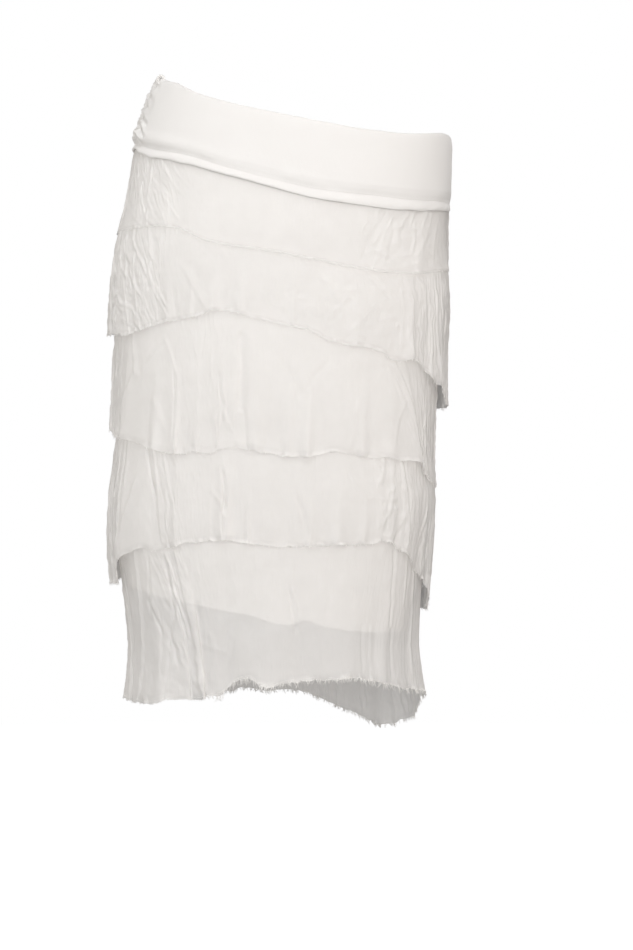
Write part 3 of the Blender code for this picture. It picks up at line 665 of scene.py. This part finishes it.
chiffon, tree, shader, grained = start_cloth(
    "white_chiffon", CHIFFON_WHITE, CHIFFON_SHADE, 0.15,
    {"Pitch Across": 0.0007, "Pitch Along": 0.0007,
     "Streak Width": 0.0017, "Streak Length": 0.02, "Cloud Size": 0.035},
)
gathered = add_node(tree, "Attribute", attribute_name="gather").outputs["Fac"]
crinkled = reckon(tree, "MULTIPLY_ADD", reckon(tree, "MAXIMUM", gathered, 0.0), 2.4, 0.3)
crinkled = reckon(tree, "MULTIPLY", grained["Streaks"], crinkled)
height = reckon(tree, "MULTIPLY_ADD", grained["Threads"], 0.25, crinkled)
bump = add_node(tree, "Bump", {"Strength": 0.6, "Distance": 0.0008, "Height": height})
cover = reckon(tree, "MULTIPLY_ADD", gathered, 0.16, 0.54)
cover = reckon(tree, "MULTIPLY_ADD", grained["Clouds"], 0.08, cover)
cover = reckon(tree, "MULTIPLY_ADD", grained["Threads"], 0.12, cover)
# So sheer a cloth scatters light on to what is under it, so its shadow is paler than it is.
passing = add_node(tree, "LightPath").outputs["Is Shadow Ray"]
passing = reckon(tree, "MULTIPLY_ADD", passing, -CHIFFON_LETS_THROUGH, 1.0)
surface = {
    "Normal": bump.outputs["Normal"],
    "Roughness": reckon(tree, "MULTIPLY_ADD", grained["Streaks"], 0.25, 0.5),
    "Alpha": reckon(tree, "MULTIPLY", reckon(tree, "MINIMUM", cover, 0.98), passing),
}
set_inputs(tree, shader, surface)

raw_silk, tree, shader, _ = start_cloth(
    "raw_silk_yarn", CHIFFON_WHITE, YARN_SHADE, 0.2, {"Cloud Size": 0.004}
)
shader.inputs["Roughness"].default_value = 0.6


def sewing_line(tier, angle):
    """The height of the line on which a tier is sewn on."""
    if tier == 1:
        return read_round(YOKE_EDGES, 2, angle) - ROLL_OVERLAP
    middle, rise_right, rise_front = SEWING_LINES[tier]
    turn = np.radians(angle)
    return middle - rise_right * np.sin(turn) + rise_front * np.cos(turn)


def lay_crease(angle, height, waver, row):
    """One crease's height over the cloth: a ridge with a furrow beside it, or the reverse."""
    top_angle, top, low_angle, low, bow, right, left, depth = row
    per_degree = millimetres_per_degree(0.5 * (top_angle + low_angle), 0.5 * (top + low))
    run, drop = around(low_angle - top_angle) * per_degree, low - top
    length = math.hypot(run, drop)
    sideways, down = around(angle - top_angle) * per_degree, height - top
    along = (sideways * run + down * drop) / length**2
    inside = np.clip(along, 0.0, 1.0)
    away = (down * run - sideways * drop) / length + waver - bow * 4.0 * inside * (1.0 - inside)
    away = away / np.where(away < 0.0, right, left)
    shape = np.exp(-(away**2)) - FURROW * hill(away - 1.9, 0.9)
    return depth * shape * hill((along - inside) * length, CREASE_END)


def crinkle(turn, height, seed):
    """The sharp, branching, nearly upright crinkles of twisted silk, between 0 and 1."""
    waver = 0.004 * soft_noise(turn, height / 12.0, 90, seed)
    wide = soft_noise(turn + waver, height / 36.0, 200, seed + 1)
    fine = soft_noise(turn + waver, height / 20.0, 410, seed + 2)
    return 0.5 * (1.0 - np.abs(wide)) ** 3 + 0.5 * (1.0 - np.abs(fine)) ** 2


def spin_threads(name, paths, thickness, yarn, corners=3):
    """Many lengths of thread as one mesh: paths is (threads, points, xyz) in millimetres."""
    count, points, _ = paths.shape
    along = np.gradient(paths, axis=1)
    along /= np.linalg.norm(along, axis=2, keepdims=True) + 1e-9
    side = np.cross(along, np.array([0.31, 0.52, 0.79]))
    side /= np.linalg.norm(side, axis=2, keepdims=True) + 1e-9
    other = np.cross(along, side)
    turn = np.arange(corners) * 2.0 * math.pi / corners
    ring = side[:, :, None] * np.cos(turn)[:, None] + other[:, :, None] * np.sin(turn)[:, None]
    verts = paths[:, :, None] + ring * np.asarray(thickness)[..., None, None] * 0.5
    first = np.arange(count * points).reshape(count, points)[:, :-1, None] * corners
    corner = np.arange(corners)[None, None, :]
    after = (corner + 1) % corners
    sides = np.stack(
        [first + corner, first + after, first + corners + after, first + corners + corner], axis=-1
    ).reshape(-1, 4)
    mesh = bpy.data.meshes.new(name)
    mesh.from_pydata((verts.reshape(-1, 3) * MM).tolist(), [], sides.tolist())
    return hang_up(name, mesh, yarn)


def sew_stitches(name, angle, height, stand_off, thickness):
    """Raised stitches inside a piece, each from one point of a line to near the next."""
    line = on_body(angle, height, stand_off)
    inward = line - on_body(angle, height, stand_off + 1.0)
    start, step = line[:-1, None], (line[1:] - line[:-1])[:, None]
    share = np.array([0.02, 0.2, 0.72, 0.9])[None, :, None]
    rise = np.array([-0.35, 0.3, 0.3, -0.35])[None, :, None]
    return spin_threads(name, start + step * share + inward[:-1, None] * rise, thickness, raw_silk)


def fray(tier, points):
    """The warp threads that hang loose from a torn hem, and the weft that leaves the lowest one."""
    chance = np.random.default_rng(50 + tier)
    hem, above = points[-1], points[-4]
    columns = len(hem)
    density, finest, thickest, tufting = TIER_THREADS[tier][:4]
    count = int(360 * density)
    place = np.sort(chance.uniform(0.0, columns, count))
    turn = place / columns
    column, share = place.astype(int) % columns, (place % 1.0)[:, None]
    root = hem[column] * (1.0 - share) + hem[(column + 1) % columns] * share
    down = hem[column] - above[column]
    down /= np.linalg.norm(down, axis=1, keepdims=True)
    across = hem[(column + 2) % columns] - hem[column]
    across /= np.linalg.norm(across, axis=1, keepdims=True)
    outward = np.cross(down, across)
    angle = around(turn * 360.0 - 180.0)
    length = read_round(TIER_FRAYS[tier], 1, angle) * chance.uniform(0.45, 1.25, count)
    off_middle = (turn * TUFTS_ROUND + 0.8 * soft_noise(turn, 0.0, 80, 60 + tier)) % 1.0 - 0.5
    lean = -tufting * off_middle * TUFT_REACH / length + chance.normal(0.0, 0.22, count)
    tip = down + lean[:, None] * across + chance.normal(0.05, 0.25, count)[:, None] * outward
    bend = chance.normal(0.0, 0.3, count)[:, None] * across
    bend = bend + chance.normal(0.0, 0.2, count)[:, None] * outward
    steps = np.array([-0.3, 0.2, 0.65, 1.0])[None, :, None]
    paths = root[:, None] + (tip[:, None] * steps + bend[:, None] * steps**2) * length[:, None, None]
    thickness = chance.uniform(finest, thickest, count)[:, None] * np.array([0.8, 1.0, 0.85, 0.35])
    loose = spin_threads(f"tier_{tier}_fray", paths, thickness, raw_silk)
    if tier < 5:
        return [loose]
    hem, above = hem[::2], above[::2]
    turn = np.linspace(0.0, 1.0, len(hem), endpoint=False)
    down = hem - above
    down /= np.linalg.norm(down, axis=1, keepdims=True)
    strands = []
    for strand in range(2):
        wander = 0.7 * soft_noise(turn, 0.0, 140, 70 + tier + strand) - 0.2 - 0.9 * strand
        drop = np.where(soft_noise(turn, 0.0, 26, 80 + tier + strand) > 0.1, 0.0, 1.6)
        strands.append(hem + down * (wander - drop)[:, None])
    weft = spin_threads(f"tier_{tier}_weft", np.array(strands), 0.6 * finest, raw_silk)
    return [loose, weft]


def hang(tier, angle, now, level, height):
    """How far a tier stands off the body, and slides sideways, before it is creased."""
    stand_off = SEWN_STAND_OFF + read_round(TIER_HEMS[tier], 2, now) * level**HANG_POWER
    if tier == 1:
        stand_off = stand_off + ROLL_STAND_OFF * (1.0 - level) ** 3
    slide = np.zeros_like(stand_off)
    for middle, width, depth, lean, _ in TIER_FOLDS[tier]:
        away = around(angle - middle) * millimetres_per_degree(angle, height)
        shape = level**FOLD_GROWTH * hill(away, width)
        stand_off = stand_off + depth * shape
        slide = slide + lean * shape
    return stand_off, slide


def clear_of_what_it_covers(tier, angle, height):
    """How near the body a tier may come without touching the slip or the next tier down."""
    if tier == 5:
        return np.full_like(height, CLEARANCE)
    top, hem = sewing_line(tier + 1, angle), read_round(TIER_HEMS[tier + 1], 1, angle)
    level = np.clip((top - height) / (top - hem), 0.0, 1.0)
    under, _ = hang(tier + 1, angle, angle, level, height)
    return np.where(height < top + 3.0, under + CLEARANCE, CLEARANCE)


for tier, (columns, rows, cut_width, cut_length) in TIER_CUTS.items():
    angles, turns = go_round(columns)
    levels = (np.linspace(0.0, 1.0, rows) ** 0.94)[:, None]
    now = around(angles + levels * read_round(TIER_FOLDS[tier], 4, angles))
    thinning, raggedness = TIER_THREADS[tier][4:]
    torn = 0.8 * soft_noise(turns, 0.0, 210, 10 + tier) + 1.4 * soft_noise(turns, 0.0, 90, 15 + tier)
    torn = (torn + 1.3 * soft_noise(turns, 0.0, 44, 20 + tier)) * raggedness
    top = sewing_line(tier, now)
    height = top + (read_round(TIER_HEMS[tier], 1, now) + torn - top) * levels
    stand_off, slide = hang(tier, angles, now, levels, height)

    # The sewn edge lies flat and the crinkles begin below it.
    strength, slant, crumple = (read_round(TIER_CRINKLES[tier], column, now) for column in (1, 2, 3))
    slanted = turns - slant * (top - height) / GIRTH
    relief = strength * (crinkle(slanted, height, 100 * tier) - 0.35)
    swayed = turns + 0.003 * soft_noise(turns, height / 8.0, 120, 44)
    crumples = 0.9 - 2.6 * np.abs(soft_noise(swayed, height / 9.0, 105, 45 + tier))
    relief = relief + crumple * crumples
    relief = relief + 0.3 * soft_noise(turns, height / 24.0, 40, 30 + tier)
    waver = 0.8 * soft_noise(turns, height / 9.0, 60, 90 + tier)
    for row in TIER_CREASES[tier]:
        relief = relief + lay_crease(now, height, waver, row)
    for top_angle, low_angle, high, low, bow, right, left, depth in HIDDEN_CREASES:
        shift = 3.0 * (tier % 3) - 3.0
        row = []
        for angle, level in ((top_angle, high), (low_angle, low)):
            hem = read_round(TIER_HEMS[tier], 1, angle)
            row += [angle + shift, float(sewing_line(tier, angle) * (1.0 - level) + hem * level)]
        row += [bow, right, left, depth]
        relief = relief + lay_crease(now, height, waver, row)
    for seam in (RUCHED_SEAM, PLAIN_SEAM):
        away = around(angles - seam) * millimetres_per_degree(angles, height)
        relief = relief + SIDE_SEAM_HEIGHT * hill(away, 1.8) - SIDE_SEAM_HEIGHT * hill(away - 3.0, 1.2)
    relief = relief * np.clip(levels / FLAT_EDGE, 0.0, 1.0) ** 1.5

    # The torn edge curls and puckers, and rests here and there on what it covers.
    edge = np.clip((levels - 1.0 + CURLED_EDGE) / CURLED_EDGE, 0.0, 1.0) ** 1.5
    relief = relief + edge * 1.2 * raggedness * soft_noise(turns, 0.0, 150, 95 + tier)
    side_rest, front_rest = TIER_RESTS[tier]
    front = np.clip(2.4 * np.cos(np.radians(now)) - 0.8, 0.0, 1.0)
    rest = (side_rest + front_rest * front) * (0.95 + 0.3 * soft_noise(turns, 0.0, 26, 98 + tier))
    for middle, width, lift in TIER_LIFTS[tier]:
        away = around(now - middle) * millimetres_per_degree(now, height)
        rest = rest - lift * hill(away, width)
    relief = relief - rest * levels**3
    nearest = clear_of_what_it_covers(tier, now, height) - FRONT_PRESS * front
    relief = np.maximum(relief, nearest - stand_off)
    points = raise_cloth(on_body(now, height, stand_off, slide), relief)
    knotted = np.clip(soft_noise(turns, 0.0, 70, 93 + tier) + 0.1, 0.0, 1.0)
    thinned = thinning * np.clip((levels - 0.955) / 0.045, 0.0, 1.0)
    gather = np.clip(0.5 * strength - 0.05, 0.0, 1.0) + 1.8 * raggedness * edge * knotted - thinned
    band = sew_ring(f"tier_{tier}", points, (cut_width, cut_length), gather, chiffon)
    frayed = fray(tier, points)
    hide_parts(f"tier_{tier}_front", f"tier_{tier}_back")

    # The two rows of machine stitches that hold the tier's gathers, as they show inside the slip.
    sewn = np.linspace(-180.0, 180.0, STITCHES_ROUND)
    for row, below in enumerate(STITCH_ROWS, start=1):
        level = sewing_line(tier, around(sewn)) - below
        name = f"tier_{tier}_stitches_{row}"
        sew_stitches(name, sewn, level, 0.25, STITCH_THICKNESS)

# --------------------------------------------------------------
# The yoke: a wide tube of white jersey folded over at its top edge, so that it is double. It is
# worn low and slanting, its lower edge is turned under, and its right side seam is ruched.
# --------------------------------------------------------------
YOKE_COLUMNS = 560
YOKE_ROWS = 80
YOKE_CUT = (0.92, 0.182)
RUCHE_DEPTH = 0.85
RUCHED_SEAM_SINK = 1.6
PLAIN_SEAM_SINK = 0.4
EASE = 0.6
BULGE_SPREAD = 40.0

# The yoke's section, from inside its lower edge up over the fold and down its face: level (0 at
# the top, 1 at the crease), stand-off, face (1 where the gathers show), and how much further it
# bulges where the ruched seam pushes it down.
YOKE_SECTION = (
    (1, 1.9, 0, 0), (0.8, 1.8, 0, 0), (0.5, 1.7, 0, 0), (0.25, 1.6, 0, 0), (0.07, 1.7, 0, 0),
    (0.015, 2, 0, 0), (0, 2.9, 0.4, 0), (0.015, 3.9, 1, 0), (0.07, 4.5, 1, 0), (0.3, 4.3, 1, 0),
    (0.6, 4.4, 1, 0), (0.72, 4.6, 1, 0.2), (0.79, 4.8, 1, 1.1), (0.84, 5, 1, 1.9), (0.88, 4.9, 1, 2),
    (0.92, 4.7, 1, 1.5), (0.955, 4.3, 0.8, 0.7), (0.98, 4.05, 0.5, 0.3), (1, 3.95, 0.2, 0.1),
    (1, 3.5, 0, 0),
)

# The gathers that the ruched seam draws into the yoke on each side of it: how far down the seam
# each starts, its reach, its fall along that reach, bow, width above and below, and depth.
RUCHES = (
    (0.03, 15, 2, 1, 2.2, 2.4, 1.4), (0.11, 15, 4, -1, 1.7, 2, -2.2), (0.18, 12, 4, 1, 2, 2, 1.6),
    (0.26, 16, 8, -1, 1.8, 2.2, -2.6), (0.34, 11, 5, 0.8, 1.8, 1.9, 1.5),
    (0.41, 15, 10, 1, 1.8, 2, -2.4), (0.49, 14, 8, 0.8, 2.2, 2, 1.8),
    (0.57, 12, 8, -0.8, 1.7, 1.9, -2.2), (0.64, 11, 7, 0.8, 1.8, 1.9, 1.5),
    (0.71, 15, 12, 0.8, 1.8, 2, -2.6), (0.80, 15, 9, -0.8, 2.2, 2.2, 1.6),
    (0.88, 10, 6, 0.6, 1.6, 1.9, -1.6),
)


def read_section(rows, count):
    """Points spaced along a section that is drawn through a short table's rows."""
    places = np.linspace(0.0, len(rows) - 1.0, count)
    numbered = [(i, *row) for i, row in enumerate((rows[0], *rows, rows[-1]), start=-1)]
    return [read_smoothly(numbered, column, places)[:, None] for column in (1, 2, 3, 4)]


def yoke_crease(angles, turns):
    """The height of the yoke's lower edge, which the roll follows."""
    return read_round(YOKE_EDGES, 2, angles) + 0.5 * soft_noise(turns, 0.0, 26, 202)


angles, turns = go_round(YOKE_COLUMNS)
level, stand_off, face, bulge = read_section(YOKE_SECTION, YOKE_ROWS)
top = read_round(YOKE_EDGES, 1, angles) + 0.5 * soft_noise(turns, 0.0, 34, 201)
height = top + (yoke_crease(angles, turns) - top) * level
away = around(angles - RUCHED_SEAM) * millimetres_per_degree(RUCHED_SEAM, height)
seam_top, seam_crease = (float(read_round(YOKE_EDGES, column, RUCHED_SEAM)) for column in (1, 2))
waver = 0.5 * soft_noise(turns, height / 9.0, 70, 206)
ruching = 0.0
for start, reach, fall, bow, above, below, depth in RUCHES:
    high = seam_top + (seam_crease - seam_top) * start
    for side, skip in ((1.0, 0.0), (-1.0, 3.0)):
        far = RUCHED_SEAM + side * reach / 1.8
        row = (RUCHED_SEAM, high - skip, far, high - skip - fall, side * bow, above, below, depth)
        ruching = ruching + lay_crease(angles, height, waver, row)
pinch = -RUCHED_SEAM_SINK * hill(away, 1.6)
plain_seam = PLAIN_SEAM_SINK * hill(around(angles - PLAIN_SEAM) * SIDE_MM_PER_DEGREE, 1.2)
ease = 0.5 * soft_noise(turns, height / 30.0, 20, 203)
ease = ease + 0.25 * soft_noise(turns, height / 12.0, 60, 204)
lower = hill(level - 0.9, 0.12) * 0.5 * soft_noise(turns, 0.0, 48, 205)
swelling = bulge * hill(around(angles - RUCHED_SEAM), BULGE_SPREAD)
swelling = swelling * (1.0 + 0.2 * soft_noise(turns, 0.0, 30, 209))
relief = face * (RUCHE_DEPTH * ruching + pinch + EASE * ease + lower - plain_seam) + swelling
yoke_points = raise_cloth(on_body(angles, height, stand_off), relief)
yoke = sew_ring("yoke", yoke_points, YOKE_CUT, 0.0, jersey)
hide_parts("yoke_front", "yoke_back")

# A small loop of the same jersey, turned and sewn in at the top of the ruched seam.
LOOP_PLACE = (-70.0, 67.0, 5.4)  # angle, height, stand-off
LOOP_RADIUS = 3.5
LOOP_THICKNESS = 2.6
turn = np.linspace(0.0, 2.0 * math.pi, 25)[:, None]
middle = on_body(*(np.array(measure) for measure in LOOP_PLACE))
sideways, up = np.array([0.94, -0.3, -0.12]), np.array([0.1, -0.2, 1.0])
ring = middle + LOOP_RADIUS * (np.cos(turn) * sideways + 1.15 * np.sin(turn) * up)
loop = spin_threads("yoke_loop", ring[None], LOOP_THICKNESS, jersey, corners=12)

# The seams' overlocking inside the yoke and the slip: zigzag stitches over the seam allowance.
OVERLOCK_PITCH = 1.6
OVERLOCK_THICKNESS = 0.45
for name, seam, top, low, inside in (
    ("yoke_ruched_overlock", RUCHED_SEAM, 60.0, 10.0, 1.5),
    ("yoke_plain_overlock", PLAIN_SEAM, 9.0, -44.0, 1.5),
    ("slip_ruched_overlock", RUCHED_SEAM, -12.0, -436.0, 0.2),
    ("slip_plain_overlock", PLAIN_SEAM, -66.0, -482.0, 0.2),
):
    heights = np.arange(top, low, -OVERLOCK_PITCH)
    sides = np.where(np.arange(len(heights)) % 2 == 0, -1.0, 1.0)
    sew_stitches(name, seam + sides, heights, inside, OVERLOCK_THICKNESS)

# --------------------------------------------------------------
# The roll under the yoke: the turned lower edge of its inner layer, which rolls outwards and
# shows as a soft cord of jersey above the first tier.
# --------------------------------------------------------------
ROLL_COLUMNS = 440
ROLL_ROWS = 22
ROLL_CUT = (0.90, 0.011)
ROLL_BULGE_SPREAD = 34.0

# The roll's section: level (0 at the crease, 1 at its lower edge), stand-off, face, bulge.
ROLL_SECTION = (
    (-0.12, 3.1, 0, 0), (-0.03, 3.55, 0, 0.1), (0.05, 3.85, 0.2, 0.1), (0.2, 4.15, 0.6, 0.3),
    (0.42, 4.7, 1, 0.7), (0.68, 5.05, 1, 0.9), (0.88, 4.9, 0.9, 0.7), (0.98, 4.4, 0.5, 0.4),
    (0.98, 3.8, 0, 0.1),
)
angles, turns = go_round(ROLL_COLUMNS)
level, stand_off, face, bulge = read_section(ROLL_SECTION, ROLL_ROWS)
away = around(angles - RUCHED_SEAM)
deep = read_round(YOKE_EDGES, 3, angles) * (1.0 - 0.4 * hill(away * 1.8, 10.0))
deep = deep + 0.4 * soft_noise(turns, 0.0, 60, 206)
height = yoke_crease(angles, turns) - deep * level
lumps = 0.35 * soft_noise(turns, 0.0, 44, 207)
lumps = lumps + 0.25 * soft_noise(turns + 0.02 * level, level * 1.5, 120, 208)
swelling = bulge * hill(away, ROLL_BULGE_SPREAD)
roll_points = raise_cloth(on_body(angles, height, stand_off + swelling), face * lumps)
roll = sew_ring("yoke_roll", roll_points, ROLL_CUT, 0.0, jersey)
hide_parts("yoke_roll_front", "yoke_roll_back")
